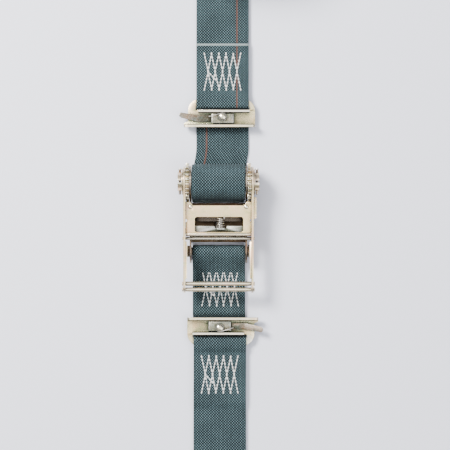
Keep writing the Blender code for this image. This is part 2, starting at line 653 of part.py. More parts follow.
def add_fitting(prefix, at, turn):
    place = fitting_place(at, turn)
    flex = place @ Matrix.Translation((0, FLEX_Y, FIT_Z + STRAP_T + GAP))
    swing = axis_empty(prefix + "_flex_line", flex.to_translation(), station)
    pivot = axis_empty(prefix + "_latch_pivot", place.to_translation(), station)
    pivot.parent = swing
    pivot.location = place.to_translation() - flex.to_translation()
    bpy.context.view_layer.update()

    def put(obj, finish, holder):
        obj.matrix_world = place @ obj.matrix_world
        bpy.context.view_layer.update()
        return add_part(obj, finish, holder)

    plate_z = FIT_Z + FIT_T / 2
    bend = 2.4 * MM
    lip_mid = LIP_Y + FIT_T / 2
    path = [(0, FIT_END + 1 * MM, plate_z)]
    path += [(0, y, z) for y, z in arc((lip_mid + bend, plate_z + bend), bend, 270, 180, 5)]
    path += [(0, lip_mid, LIP_TOP)]
    body = bent_sheet(prefix + "_fitting_body", path, (LIP_LEFT, FIT_RIGHT), FIT_T, "X")
    outline = [(LIP_LEFT, LIP_Y - 1 * MM), (FIT_RIGHT, LIP_Y - 1 * MM)]
    outline += arc((FIT_RIGHT - FIT_CORNER, FIT_END - FIT_CORNER), FIT_CORNER, 0, 90, 7)
    outline += arc((FIT_LEFT + FIT_CORNER, FIT_END - FIT_CORNER), FIT_CORNER, 90, 180, 7)
    outline += [(FIT_LEFT, LIP_Y + 6 * MM), (LIP_LEFT, LIP_Y + 4 * MM)]
    cut(body, stamped("plan", [outline], 0, LIP_TOP + 5 * MM, PLAN), "INTERSECT")
    face = box_outline(LIP_LEFT - 1 * MM, FIT_RIGHT + 1 * MM, 0, LIP_TOP, 4 * MM)
    cut(body, stamped("face", [face], -FIT_END - 5 * MM, -LIP_Y + 5 * MM, FRONT), "INTERSECT")

    flap_t = FIT_T - 0.2 * MM
    flap_mid = SLOT[0] - flap_t / 2
    path = [(0, -1 * MM, plate_z)]
    path += [(0, y, z) for y, z in arc((flap_mid - bend, plate_z + bend), bend, 270, 360, 5)]
    path += [(0, flap_mid, FLAP_TOP)]
    flap = bent_sheet("flap", path, (FLAP_LEFT, SLOT_HALF), flap_t, "X")
    cut(body, flap, "UNION")
    slot = box_outline(-SLOT_HALF, SLOT_HALF, *SLOT, 1.2 * MM)
    cut(body, stamped("slot", [slot], 0, FIT_Z + FIT_T + 1 * MM, PLAN))
    sink = turned("sink", [(0, FIT_Z + FIT_T + 1 * MM), (RIVET_R + GAP, FIT_Z + FIT_T + 1 * MM),
                           (RIVET_R + GAP, FIT_Z + 1.3 * MM), (RIVET_R + 1.8 * MM, FIT_Z - 0.2 * MM),
                           (0, FIT_Z - 0.2 * MM)], "Z", (0, 0, 0), 20)
    cut(body, sink)
    put(smooth(body), "yellow_zinc", swing)

    latch_low = FIT_Z + FIT_T + GAP
    latch_t = 1.4 * MM
    latch_z = latch_low + latch_t / 2
    tip = -42 * MM
    path = [(6 * MM, latch_z), (-24 * MM, latch_z), (tip, latch_z + 2.6 * MM)]
    latch = bent_sheet(prefix + "_latch", path, (-9 * MM, 9 * MM), latch_t, "Y")
    outline = arc((0, 0), 3.6 * MM, -100, 100, 10)
    outline += [(-24 * MM, 1.6 * MM)]
    outline += arc((tip + 2.6 * MM, 1.8 * MM), 2.6 * MM, 100, 250, 7)
    outline += [(-24 * MM, -4.6 * MM)]
    cut(latch, stamped("plan", [outline], 0, 20 * MM, PLAN), "INTERSECT")
    cut(latch, stamped("hole", [ring((0, 0), RIVET_R + GAP, 16)], 0, 20 * MM, PLAN))
    put(latch, "yellow_zinc", pivot)

    keeper_t = 1.2 * MM
    keeper_top = latch_low + latch_t + 1.6 * MM + keeper_t
    leg = 10.6 * MM
    mid = keeper_top - keeper_t / 2
    path = [(-leg, latch_low + latch_t + 0.5 * MM)]
    path += arc((-leg + 1 * MM, mid - 1 * MM), 1 * MM, 180, 90, 3)
    path += arc((leg - 1 * MM, mid - 1 * MM), 1 * MM, 90, 0, 3)
    path += [(leg, latch_low)]
    inset = bend - FIT_T / 2 + GAP
    keeper = bent_sheet(prefix + "_keeper", path, (LIP_Y + FIT_T + inset, flap_mid - flap_t / 2 - inset),
                        keeper_t, "Y")
    cut(keeper, stamped("hole", [ring((0, 0), RIVET_R + GAP, 16)], 0, 20 * MM, PLAN))
    put(smooth(keeper), "yellow_zinc", swing)

    spring_wire = 0.5 * MM
    spring_low = keeper_top + GAP + spring_wire
    head_low = spring_low + 2 * 1.1 * MM + spring_wire + GAP
    profile = [(0, head_low + 1.3 * MM), (1.6 * MM, head_low + 1.1 * MM), (2.8 * MM, head_low + 0.5 * MM),
               (3.1 * MM, head_low), (RIVET_R, head_low), (RIVET_R, FIT_Z + 1.3 * MM),
               (RIVET_R + 1.3 * MM, FIT_Z + 0.1 * MM), (0, FIT_Z + 0.1 * MM)]
    put(turned(prefix + "_rivet", profile, "Z", (0, 0, 0), 18), "pale_zinc", swing)
    coil_r = 3.6 * MM
    leg_end = [(-9 * MM, coil_r * 0.3, spring_low + 2.2 * MM),
               (-leg - 2.2 * MM, 0, spring_low + 1 * MM),
               (-leg - 2.8 * MM, 0, latch_low + latch_t + GAP + spring_wire)]
    spring = coil(prefix + "_latch_spring", coil_r, spring_wire, (0, 0, spring_low),
                  (0, 0, spring_low + 2.2 * MM), 2.25, leg_end, axis="Z")
    put(spring, "spring_steel", swing)

    loop_r = (FIT_T + 2 * GAP + STRAP_T) / 2
    bar = SLOT[1] + 0.5 * MM
    back = FIT_Z - GAP - STRAP_T / 2
    front = FIT_Z + FIT_T + GAP + STRAP_T / 2
    end = FLEX_Y - GAP / 2
    path = [(0, end, back)]
    path += [(0, y, z) for y, z in arc((bar, (back + front) / 2), loop_r, 270, 90, 8)]
    path += [(0, FIT_END + 0.6 * MM, front), (0, end - 1 * MM, back + PLY), (0, end, back + PLY)]
    loop = bent_sheet(prefix + "_strap_loop", path, (-STRAP_W / 2, STRAP_W / 2), STRAP_T, "X")
    put(loop, "webbing", swing)


# Straps that lie on the table

def add_strap(name, path):
    strap = bent_sheet(name, path, (-STRAP_W / 2, STRAP_W / 2), STRAP_T, "X")
    add_part(strap, "webbing", station)


def layer(count):
    """Height of the middle of a layer of webbing, counted from the table."""
    return STRAP_T / 2 + count * PLY


def add_adjustable_strap():
    shift = UPPER_AT[0]
    flex = UPPER_AT[1] + FLEX_Y + GAP / 2
    foot = [math.sqrt(ROLL_R ** 2 - (ROLL_R - top) ** 2) + 1.5 * MM
            for top in (STRAP_T + GAP, STRAP_T + PLY + GAP)]
    start = BASE_CENTRE + BASE_HALF + FRAME_SCARF + GAP
    add_strap("adjustable_strap_lead", [(0, start, layer(0)), (0, 6 * MM, layer(0)),
                                        (shift, 30 * MM, layer(0)), (shift, ROLL_Y - foot[0], layer(0))])
    add_strap("adjustable_strap_end", [(shift, flex, layer(1)), (shift, ROLL_Y - foot[1], layer(1))])
    add_strap("adjustable_strap_tail", [(shift, flex, layer(2)), (shift, flex + TAIL_LENGTH, layer(2))])
    loops = [ring((ROLL_Y, ROLL_R), ROLL_R, 60), ring((ROLL_Y, ROLL_R), ROLL_CORE, 28)]
    half = STRAP_W / 2 + 0.4 * MM
    roll = stamped("strap_roll", loops, shift - half, shift + half, SIDE)
    add_part(smooth(roll), "webbing", station)
    band_t = 1.2 * MM
    out = half + GAP + band_t / 2
    low = ROLL_R + ROLL_CORE - 3 * MM
    high = 2 * ROLL_R + GAP + band_t / 2
    band = stamped("roll_tie", [box_outline(shift - out - band_t / 2, shift + out + band_t / 2,
                                            low - band_t / 2, high + band_t / 2, 2 * MM, 3),
                                box_outline(shift - out + band_t / 2, shift + out - band_t / 2,
                                            low + band_t / 2, high - band_t / 2, 0.8 * MM, 3)],
                   -ROLL_Y - 6 * MM, -ROLL_Y + 6 * MM, FRONT)
    add_part(band, "tie_band", station)


def add_fixed_strap():
    shift = LOWER_AT[0]
    near = FRAME_INSIDE - STRAP_W / 2 - GAP
    loop_r = PIN_R + GAP + STRAP_T / 2
    flex = LOWER_AT[1] - FLEX_Y - GAP / 2
    join = PIN_Y - 25 * MM
    tail_end = -127 * MM
    path = [(near, tail_end, layer(0)), (near, PIN_Y - 16 * MM, layer(0)), (near, PIN_Y - 8 * MM, 1.6 * MM)]
    path += [(near, y, z) for y, z in arc((PIN_Y, PIN_Z), loop_r, -105, 82, 12)]
    path += [(near, PIN_Y - 4 * MM, 12.4 * MM), (near, PIN_Y - 14 * MM, 6.4 * MM),
             (near, PIN_Y - 21 * MM, layer(1)), (near, join, layer(1))]
    add_strap("fixed_strap_pin_loop", path)
    turn = FOLD_Y + 14 * MM
    add_strap("fixed_strap_run", [(near, join - GAP, layer(1)), (near, tail_end, layer(1)),
                                  (near, tail_end - 5 * MM, layer(0)),
                                  (shift, tail_end - 20 * MM, layer(0)), (shift, turn + GAP, layer(0))])
    centre = (FOLD_Y + FOLD_R + STRAP_T / 2, layer(0) + FOLD_R)
    path = [(shift, turn, layer(0))]
    path += [(shift, y, z) for y, z in arc(centre, FOLD_R, 270, 100, 10)]
    path += [(shift, turn - 3 * MM, layer(1)), (shift, turn, layer(1))]
    add_strap("fixed_strap_fold", path)
    add_strap("fixed_strap_tail", [(shift, flex, layer(1)), (shift, flex - TAIL_LENGTH, layer(1))])
    lift = flex - TAIL_LENGTH - 1 * MM
    add_strap("fixed_strap_return", [(shift, turn + GAP, layer(1)), (shift, lift - 6 * MM, layer(1)),
                                     (shift, lift, layer(2)), (shift, flex, layer(2))])


lug_place = add_base_frame()
add_strap_pin()
add_lock_pawl(lug_place)
add_spindle()
add_wheels()
add_spindle_ends()
add_spool_webbing()
add_arms()
add_handle_bars()
add_cross_plate()
add_drive_pawl()
add_drive_pawl_details()
add_fitting("upper", UPPER_AT, 0)
add_fitting("lower", LOWER_AT, math.pi)
add_adjustable_strap()
add_fixed_strap()
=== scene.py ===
import json
import math
import bmesh
import bpy
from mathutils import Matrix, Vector, noise


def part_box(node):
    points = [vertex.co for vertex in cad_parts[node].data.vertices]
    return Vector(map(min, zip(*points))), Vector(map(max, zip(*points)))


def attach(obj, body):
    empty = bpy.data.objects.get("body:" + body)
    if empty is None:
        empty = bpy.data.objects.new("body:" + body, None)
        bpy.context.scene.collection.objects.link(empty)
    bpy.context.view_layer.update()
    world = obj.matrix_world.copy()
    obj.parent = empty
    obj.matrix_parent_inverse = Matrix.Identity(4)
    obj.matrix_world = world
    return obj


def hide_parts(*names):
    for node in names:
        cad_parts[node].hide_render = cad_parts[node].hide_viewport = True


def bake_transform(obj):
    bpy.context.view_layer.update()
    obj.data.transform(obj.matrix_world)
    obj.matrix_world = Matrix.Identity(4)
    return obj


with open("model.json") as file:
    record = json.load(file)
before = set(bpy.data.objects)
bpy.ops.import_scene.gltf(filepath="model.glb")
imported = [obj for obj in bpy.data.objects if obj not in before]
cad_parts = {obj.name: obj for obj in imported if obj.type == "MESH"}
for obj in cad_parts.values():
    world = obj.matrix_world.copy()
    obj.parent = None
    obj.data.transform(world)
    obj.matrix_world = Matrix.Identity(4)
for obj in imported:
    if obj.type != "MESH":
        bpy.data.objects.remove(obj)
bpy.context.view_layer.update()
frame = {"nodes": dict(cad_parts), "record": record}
mm = 0.001
joints = {joint["name"]: joint for joint in frame["record"]["behaviour"]["joints"]}
spindle = Vector(joints["spool_turn"]["pos_m"])
bodyOf = {node: body for body, nodes in frame["record"]["behaviour"]["bodies"].items() for node in nodes}
slotOf = {row["node"]: row["material_slot"] for row in frame["record"]["subparts"]}

# camera and stage

stageLook = {"floorSide": 2.4, "floorColor": (0.85, 0.865, 0.965), "floorDrop": 0.4 * mm, "cameraHeight": 1.6,
             "cameraRight": 6.3 * mm, "cameraDown": 41.6 * mm, "frameWidth": 0.4355, "lookAtHeight": 0.008,
             "sensor": 36.0, "worldColor": (0.92, 0.93, 1.0), "worldStrength": 0.28}
studioLamps = {  # place, size, power and color
    "keyLeft": ((-0.9, 0.75, 1.3), 0.6, 74, (1.0, 0.985, 0.96)),
    "fillRight": ((1.1, -0.5, 1.4), 1.1, 15, (0.95, 0.97, 1.0)),
    "overhead": ((0.0, 0.1, 2.1), 2.4, 34, (1.0, 1.0, 1.0)),
}


def addStage(look):
    cameraData = bpy.data.cameras.new("camera")
    cameraData.sensor_width = look["sensor"]
    cameraData.lens = look["sensor"] * (look["cameraHeight"] - look["lookAtHeight"]) / look["frameWidth"]
    camera = bpy.data.objects.new("camera", cameraData)
    camera.location = (spindle.x + look["cameraRight"], spindle.y - look["cameraDown"], look["cameraHeight"])
    bpy.context.scene.collection.objects.link(camera)
    bpy.context.scene.camera = camera

    bpy.ops.mesh.primitive_plane_add(size=look["floorSide"], location=(0, 0, -look["floorDrop"]))
    floor = bpy.context.object
    floor.name = "floor"
    floorMaterial = bpy.data.materials.new("paleFloor")
    floorMaterial.use_nodes = True
    shader = floorMaterial.node_tree.nodes["Principled BSDF"]
    shader.inputs["Base Color"].default_value = (*look["floorColor"], 1)
    shader.inputs["Roughness"].default_value = 0.95
    shader.inputs["Specular IOR Level"].default_value = 0.1
    floor.data.materials.append(floorMaterial)

    world = bpy.data.worlds.new("studio")
    world.use_nodes = True
    glow = world.node_tree.nodes["Background"].inputs
    glow["Color"].default_value = (*look["worldColor"], 1)
    glow["Strength"].default_value = look["worldStrength"]
    bpy.context.scene.world = world
    for name, (place, size, power, color) in studioLamps.items():
        lamp = bpy.data.lights.new(name, "AREA")
        lamp.size = size
        lamp.energy = power
        lamp.color = color
        holder = bpy.data.objects.new(name, lamp)
        holder.location = place
        holder.rotation_euler = (Vector((0, 0, 0)) - Vector(place)).to_track_quat("-Z", "Y").to_euler()
        bpy.context.scene.collection.objects.link(holder)


addStage(stageLook)
print("stage: camera, floor and lights")

# shader node helpers


class Wiring:  # short calls for adding and joining shader nodes in one tree
    def __init__(self, tree):
        self.tree = tree
        self.nodes = tree.nodes

    def put(self, socket, value):
        if isinstance(value, bpy.types.NodeSocket):
            self.tree.links.new(value, socket)
        else:
            socket.default_value = value

    def math(self, operation, a, b=0.0, clamp=False):
        node = self.nodes.new("ShaderNodeMath")
        node.operation = operation
        node.use_clamp = clamp
        self.put(node.inputs[0], a)
        self.put(node.inputs[1], b)
        return node.outputs[0]

    def mix(self, factor, a, b, blend="MIX"):
        node = self.nodes.new("ShaderNodeMix")
        node.data_type = "RGBA"
        node.blend_type = blend
        self.put(node.inputs["Factor"], factor)
        self.put(node.inputs["A"], a)
        self.put(node.inputs["B"], b)
        return node.outputs["Result"]

    def range(self, value, low, high, newLow=0.0, newHigh=1.0):
        node = self.nodes.new("ShaderNodeMapRange")
        node.interpolation_type = "SMOOTHSTEP"
        for place, number in enumerate((value, low, high, newLow, newHigh)):
            self.put(node.inputs[place], number)
        return node.outputs[0]

    def noise(self, vector, scale, detail=3.0, rough=0.55):
        node = self.nodes.new("ShaderNodeTexNoise")
        self.put(node.inputs["Vector"], vector)
        node.inputs["Scale"].default_value = scale
        node.inputs["Detail"].default_value = detail
        node.inputs["Roughness"].default_value = rough
        return node.outputs["Fac"]

    def stretched(self, vector, scale):
        node = self.nodes.new("ShaderNodeMapping")
        self.put(node.inputs["Vector"], vector)
        node.inputs["Scale"].default_value = scale
        return node.outputs["Vector"]

    def bump(self, height, distance, strength=1.0, normal=None):
        node = self.nodes.new("ShaderNodeBump")
        self.put(node.inputs["Height"], height)
        node.inputs["Distance"].default_value = distance
        node.inputs["Strength"].default_value = strength
        if normal is not None:
            self.put(node.inputs["Normal"], normal)
        return node.outputs["Normal"]


def newGroup(name, inputs, outputs):
    tree = bpy.data.node_groups.new(name, "ShaderNodeTree")
    kinds = {"v": "NodeSocketVector", "f": "NodeSocketFloat", "c": "NodeSocketColor"}
    for label, kind in inputs:
        tree.interface.new_socket(label, in_out="INPUT", socket_type=kinds[kind])
    for label, kind in outputs:
        tree.interface.new_socket(label, in_out="OUTPUT", socket_type=kinds[kind])
    wires = Wiring(tree)
    return tree, wires, tree.nodes.new("NodeGroupInput").outputs, tree.nodes.new("NodeGroupOutput").inputs


def useGroup(wires, tree, **values):
    node = wires.nodes.new("ShaderNodeGroup")
    node.node_tree = tree
    for label, value in values.items():
        wires.put(node.inputs[label], value)
    return node.outputs


def weaveGroup():
    # rows of yarn floats, each column half a float on from its neighbour
    tree, w, given, result = newGroup("strapWeave", [("strapUv", "v"), ("column", "f"), ("float", "f")],
                                      [("relief", "f"), ("yarn", "f"), ("across", "f"), ("along", "f")])
    split = w.nodes.new("ShaderNodeSeparateXYZ")
    w.put(split.inputs[0], given["strapUv"])
    wander = w.math("SUBTRACT", w.noise(given["strapUv"], 260, 2), 0.5)
    across = w.math("ADD", split.outputs[0], w.math("MULTIPLY", wander, 0.0005))
    column = w.math("DIVIDE", across, given["column"])
    odd = w.math("MODULO", w.math("FLOOR", w.math("ADD", column, 200.0)), 2.0)
    along = w.math("ADD", w.math("DIVIDE", split.outputs[1], given["float"]), w.math("MULTIPLY", odd, 0.5))
    along = w.math("ADD", along, w.math("MULTIPLY", wander, 0.35))
    ridge = w.math("ABSOLUTE", w.math("SINE", w.math("MULTIPLY", column, math.pi)))
    rise = w.math("ABSOLUTE", w.math("SINE", w.math("MULTIPLY", along, math.pi)))
    relief = w.math("MULTIPLY", w.math("POWER", ridge, 0.6), w.math("POWER", rise, 0.8))
    w.put(result["relief"], relief)
    w.put(result["yarn"], w.range(relief, 0.58, 0.93))
    w.put(result["across"], split.outputs[0])
    w.put(result["along"], split.outputs[1])
    return tree


def wearAndShadeGroup():
    # bright rubbed edges from the surface's curvature, and painted shade where its hollows shut out light
    inputs = [("place", "v"), ("edge", "f"), ("reach", "f"), ("open", "f"), ("closed", "f")]
    tree, w, given, result = newGroup("edgeWear", inputs, [("rubbed", "f"), ("grime", "f")])
    sharpness = w.nodes.new("ShaderNodeNewGeometry").outputs["Pointiness"]
    broken = w.noise(given["place"], 900, 4)
    rubbed = w.range(w.math("ADD", sharpness, w.math("MULTIPLY", broken, 0.06)), 0.545, 0.62)
    w.put(result["rubbed"], w.math("MULTIPLY", rubbed, given["edge"]))
    # ambient occlusion darkens hollows and the edges where parts meet: painted shade
    hollow = w.nodes.new("ShaderNodeAmbientOcclusion")
    hollow.samples = 6
    w.put(hollow.inputs["Distance"], given["reach"])
    shut = w.math("ADD", hollow.outputs["AO"], w.math("MULTIPLY", w.math("SUBTRACT", broken, 0.5), 0.3))
    w.put(result["grime"], w.range(shut, given["open"], given["closed"]))
    return tree


def tintGroup():
    # the drifting yellow, pink and green of a chromate film, with fine drag lines and pits
    inputs = [("place", "v"), ("base", "c"), ("warm", "c"), ("cool", "c")]
    tree, w, given, result = newGroup("platedTint", inputs, [("color", "c"), ("relief", "f"), ("cloud", "f")])
    cloud = w.noise(given["place"], 55, 4, 0.6)
    band = w.noise(w.stretched(given["place"], (1.0, 1.6, 2.4)), 120, 3, 0.6)
    color = w.mix(w.range(cloud, 0.42, 0.66), given["base"], given["warm"])
    color = w.mix(w.range(band, 0.50, 0.68, 0.0, 0.85), color, given["cool"])
    w.put(result["color"], color)
    drag = w.noise(w.stretched(given["place"], (12.0, 1.0, 12.0)), 260, 2)
    pits = w.noise(given["place"], 1700, 2)
    w.put(result["relief"], w.math("ADD", w.math("MULTIPLY", drag, 0.5), w.math("MULTIPLY", pits, 0.5)))
    w.put(result["cloud"], cloud)
    return tree


strapWeave = weaveGroup()
edgeWear = wearAndShadeGroup()
platedTint = tintGroup()


def startMaterial(name):
    material = bpy.data.materials.new(name)
    material.use_nodes = True
    wires = Wiring(material.node_tree)
    return material, wires, material.node_tree.nodes["Principled BSDF"].inputs


# occlusion at which the painted shade starts and at which it is full, for each depth of hollow
paintedShadeRanges = {"shallow": (0.80, 0.34), "deep": (0.90, 0.52), "none": (0.30, 0.05)}
# in each finish the dark colour that the occlusion mask mixes in is painted shade for its hollows; on
# track_zinc it is green, painted shade with the strap's painted reflection
platings = {
    "yellow_zinc": {"base": (0.94, 0.72, 0.36), "warm": (0.92, 0.56, 0.34), "cool": (0.66, 0.60, 0.26),
                    "rough": (0.20, 0.38), "bump": 0.00008, "dirt": (0.050, 0.030, 0.014), "shut": "shallow"},
    "pale_zinc": {"base": (0.93, 0.80, 0.50), "warm": (0.90, 0.66, 0.36), "cool": (0.64, 0.66, 0.46),
                  "rough": (0.18, 0.34), "bump": 0.00007, "dirt": (0.040, 0.028, 0.016), "shut": "shallow"},
    "brass_nut": {"base": (0.60, 0.42, 0.12), "warm": (0.74, 0.50, 0.16), "cool": (0.30, 0.26, 0.08),
                  "rough": (0.26, 0.44), "bump": 0.00006, "dirt": (0.06, 0.04, 0.01), "shut": "shallow"},
    "spring_steel": {"base": (0.20, 0.14, 0.09), "warm": (0.34, 0.22, 0.12), "cool": (0.08, 0.07, 0.06),
                     "rough": (0.28, 0.46), "bump": 0.00004, "dirt": (0.02, 0.014, 0.01), "shut": "none"},
    "track_zinc": {"base": (0.94, 0.78, 0.44), "warm": (0.94, 0.66, 0.34), "cool": (0.62, 0.60, 0.26),
                   "rough": (0.18, 0.36), "bump": 0.00008, "dirt": (0.045, 0.070, 0.045), "shut": "deep"},
    # the next four finishes are darker copies of the plating for parts that lie in shade: painted shade; the
    # olive one adds the strap's green as a painted reflection
    "dark_zinc": {"base": (0.07, 0.065, 0.04), "warm": (0.20, 0.11, 0.045), "cool": (0.035, 0.060, 0.040),
                  "rough": (0.24, 0.42), "bump": 0.00008, "dirt": (0.015, 0.018, 0.010), "shut": "shallow"},
    "olive_zinc": {"base": (0.13, 0.13, 0.055), "warm": (0.24, 0.15, 0.06), "cool": (0.06, 0.10, 0.06),
                   "rough": (0.24, 0.42), "bump": 0.00008, "dirt": (0.015, 0.022, 0.010), "shut": "shallow"},
    "grey_zinc": {"base": (0.17, 0.19, 0.14), "warm": (0.21, 0.20, 0.13), "cool": (0.13, 0.17, 0.13),
                  "rough": (0.30, 0.46), "bump": 0.00006, "dirt": (0.03, 0.028, 0.02), "shut": "shallow"},
    "shaded_zinc": {"base": (0.44, 0.30, 0.16), "warm": (0.50, 0.26, 0.15), "cool": (0.26, 0.22, 0.10),
                    "rough": (0.24, 0.42), "bump": 0.00008, "dirt": (0.030, 0.018, 0.010), "shut": "deep"},
}


def platedMaterial(name, look):
    material, w, shader = startMaterial(name)
    place = w.nodes.new("ShaderNodeTexCoord").outputs["Object"]
    colors = {key: (*look[key], 1) for key in ("base", "warm", "cool")}
    tint = useGroup(w, platedTint, place=place, **colors)
    clear, closed = paintedShadeRanges[look["shut"]]
    wearAndShade = useGroup(w, edgeWear, place=place, edge=0.7, reach=0.032, open=clear, closed=closed)
    # pale rubbed edges, then painted shade mixed in where the hollows are occluded
    color = w.mix(wearAndShade["rubbed"], tint["color"], (0.93, 0.91, 0.84, 1))
    color = w.mix(w.math("MULTIPLY", wearAndShade["grime"], 0.94), color, (*look["dirt"], 1))
    w.put(shader["Base Color"], color)
    shader["Metallic"].default_value = 0.92
    w.put(shader["Roughness"], w.range(tint["cloud"], 0.3, 0.7, *look["rough"]))
    w.put(shader["Normal"], w.bump(tint["relief"], look["bump"], 0.6))
    return material


# how far from the middle each webbing's tracer thread runs
tracers = {"strapWebbing": None, "strapWebbingLead": -0.0155, "strapWebbingEnd": 0.0140}
webbingColors = {"dark": (0.0008, 0.0022, 0.0028, 1), "light": (0.155, 0.255, 0.285), "wornShare": 0.72,
                 "fuzz": (0.20, 0.26, 0.27, 1), "tracer": (0.13, 0.05, 0.035, 1),
                 "melted": (0.30, 0.36, 0.36, 1), "grime": (0.004, 0.005, 0.004, 1)}
weaveSize = {"column": 0.0013, "float": 0.0027, "relief": 0.00035, "tracerHalf": 0.0006, "meltedEnd": 0.0026}


def webbingMaterial(name, tracer, look):
    material, w, shader = startMaterial(name)
    uv = w.nodes.new("ShaderNodeUVMap")
    uv.uv_map = "strapUv"
    sizes = {key: weaveSize[key] for key in ("column", "float")}
    weave = useGroup(w, strapWeave, strapUv=uv.outputs[0], **sizes)
    place = w.nodes.new("ShaderNodeTexCoord").outputs["Object"]
    worn = w.noise(place, 45, 4)
    faded = [look["wornShare"] * c for c in look["light"]]
    light = w.mix(w.range(worn, 0.35, 0.7), (*faded, 1), (*look["light"], 1))
    color = w.mix(weave["yarn"], look["dark"], light)
    fuzz = w.noise(w.stretched(uv.outputs[0], (1.0, 0.25, 1.0)), 2600, 2)
    color = w.mix(w.range(fuzz, 0.56, 0.8, 0.0, 0.3), color, look["fuzz"])
    if tracer is not None:
        off = w.math("ABSOLUTE", w.math("SUBTRACT", weave["across"], tracer))
        line = w.range(off, weaveSize["tracerHalf"], weaveSize["tracerHalf"] * 1.5, 0.75, 0.0)
        color = w.mix(line, color, look["tracer"])
    melted = w.range(weave["along"], weaveSize["meltedEnd"], weaveSize["meltedEnd"] * 0.6, 0.0, 0.7)
    color = w.mix(melted, color, look["melted"])
    # painted shade on the webbing where it meets other parts and in its folds
    wearAndShade = useGroup(w, edgeWear, place=place, edge=0.0, reach=0.010, open=0.80, closed=0.30)
    color = w.mix(w.math("MULTIPLY", wearAndShade["grime"], 0.8), color, look["grime"])
    w.put(shader["Base Color"], color)
    w.put(shader["Roughness"], w.range(weave["relief"], 0.0, 1.0, 0.92, 0.62))
    shader["Sheen Weight"].default_value = 0.03
    shader["Specular IOR Level"].default_value = 0.18
    shader["Sheen Roughness"].default_value = 0.5
    fine = w.bump(fuzz, 0.00006, 0.5)
    w.put(shader["Normal"], w.bump(weave["relief"], weaveSize["relief"], 0.9, fine))
    return material


def threadMaterial():
    material, w, shader = startMaterial("whiteThread")
    place = w.nodes.new("ShaderNodeTexCoord").outputs["Object"]
    twist = w.noise(w.stretched(place, (1.0, 1.0, 3.0)), 2200, 2)
    w.put(shader["Base Color"], w.mix(twist, (0.74, 0.74, 0.72, 1), (0.93, 0.93, 0.91, 1)))
    w.put(shader["Roughness"], w.range(twist, 0.3, 0.7, 0.55, 0.8))
    w.put(shader["Normal"], w.bump(twist, 0.00010, 0.7))
    return material


def bandMaterial():
    material, w, shader = startMaterial("storageBand")
    uv = w.nodes.new("ShaderNodeUVMap")
    uv.uv_map = "strapUv"
    weave = useGroup(w, strapWeave, strapUv=uv.outputs[0], column=0.0009, float=0.0016)
    w.put(shader["Base Color"], w.mix(weave["yarn"], (0.012, 0.012, 0.014, 1), (0.055, 0.055, 0.06, 1)))
    w.put(shader["Roughness"], w.range(weave["relief"], 0.0, 1.0, 0.95, 0.7))
    w.put(shader["Normal"], w.bump(weave["relief"], 0.0002, 0.8))
    return material


plated = {name: platedMaterial(name, look) for name, look in platings.items()}
webbed = {name: webbingMaterial(name, tracer, webbingColors) for name, tracer in tracers.items()}
whiteThread = threadMaterial()
storageBand = bandMaterial()
print("materials: plated steel, webbing, thread and band")

# plated pieces: a welded copy of each node with its stamped edges rounded

softening = {"bevel": 0.00028, "segments": 2, "angle": 34, "crease": 27, "weld": 0.000004}
woundSprings = ("drive_pawl_spring", "lock_pawl_spring")
latchSprings = ("upper_latch_spring", "lower_latch_spring")
# the cross plate, lock pawl and base frame get darker copies of the plating: painted shade, as they lie deep
# under the handle
finishOf = {"handle_cross_plate": "grey_zinc", "lock_pawl": "shaded_zinc", "base_frame": "shaded_zinc"}
# the latch, its spring and the keeper get dark copies of the plating: painted shade in the fitting's channel,
# with the strap's green as a painted reflection on the keeper
fittingFinishes = {"fitting_body": "track_zinc", "latch": "dark_zinc", "keeper": "olive_zinc",
                   "latch_spring": "dark_zinc"}
for side in ("upper", "lower"):
    finishOf.update({side + "_" + part: finish for part, finish in fittingFinishes.items()})


def linkPiece(name, mesh, material):
    piece = bpy.data.objects.new(name, mesh)
    bpy.context.scene.collection.objects.link(piece)
    mesh.materials.clear()
    mesh.materials.append(material)
    return piece


def bakedCopy(piece):  # its modifiers become plain mesh
    bpy.context.view_layer.update()
    depsgraph = bpy.context.evaluated_depsgraph_get()
    mesh = bpy.data.meshes.new_from_object(piece.evaluated_get(depsgraph))
    piece.modifiers.clear()
    piece.data = mesh
    return mesh


def pieceName(node):
    words = node.split("_")
    return words[0] + "".join(word.capitalize() for word in words[1:]) + "Plated"


def softened(node, look):
    mesh = frame["nodes"][node].data.copy()
    shape = bmesh.new()
    shape.from_mesh(mesh)
    bmesh.ops.remove_doubles(shape, verts=shape.verts, dist=look["weld"])
    bmesh.ops.dissolve_limit(shape, angle_limit=math.radians(1), verts=shape.verts, edges=shape.edges)
    bmesh.ops.triangulate(shape, faces=[f for f in shape.faces if len(f.verts) > 4])
    shape.to_mesh(mesh)
    shape.free()
    slot = slotOf[node]
    finish = finishOf.get(node, slot)
    piece = linkPiece(pieceName(node), mesh, plated[finish])
    bevel = piece.modifiers.new("stampedEdge", "BEVEL")
    bevel.width = look["bevel"]
    bevel.segments = look["segments"]
    bevel.limit_method = "ANGLE"
    bevel.angle_limit = math.radians(look["angle"])
    bevel.miter_outer = "MITER_ARC"
    mesh = bakedCopy(piece)
    mesh.shade_smooth()
    mesh.set_sharp_from_angle(angle=math.radians(look["crease"]))
    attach(piece, bodyOf[node])
    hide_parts(node)
    return piece


metalNodes = [node for node, slot in slotOf.items()
              if slot in platings and node not in woundSprings + latchSprings]
for node in metalNodes:
    softened(node, softening)
print("plated pieces:", len(metalNodes))

# pawl springs, wound afresh along Y with closed ends

springWinding = {"turns": 5.0, "wire": 0.00052, "steps": 30, "closedTurns": 0.8, "sides": 3}
tubeFinish = {"weld": 0.000002, "crease": 50}


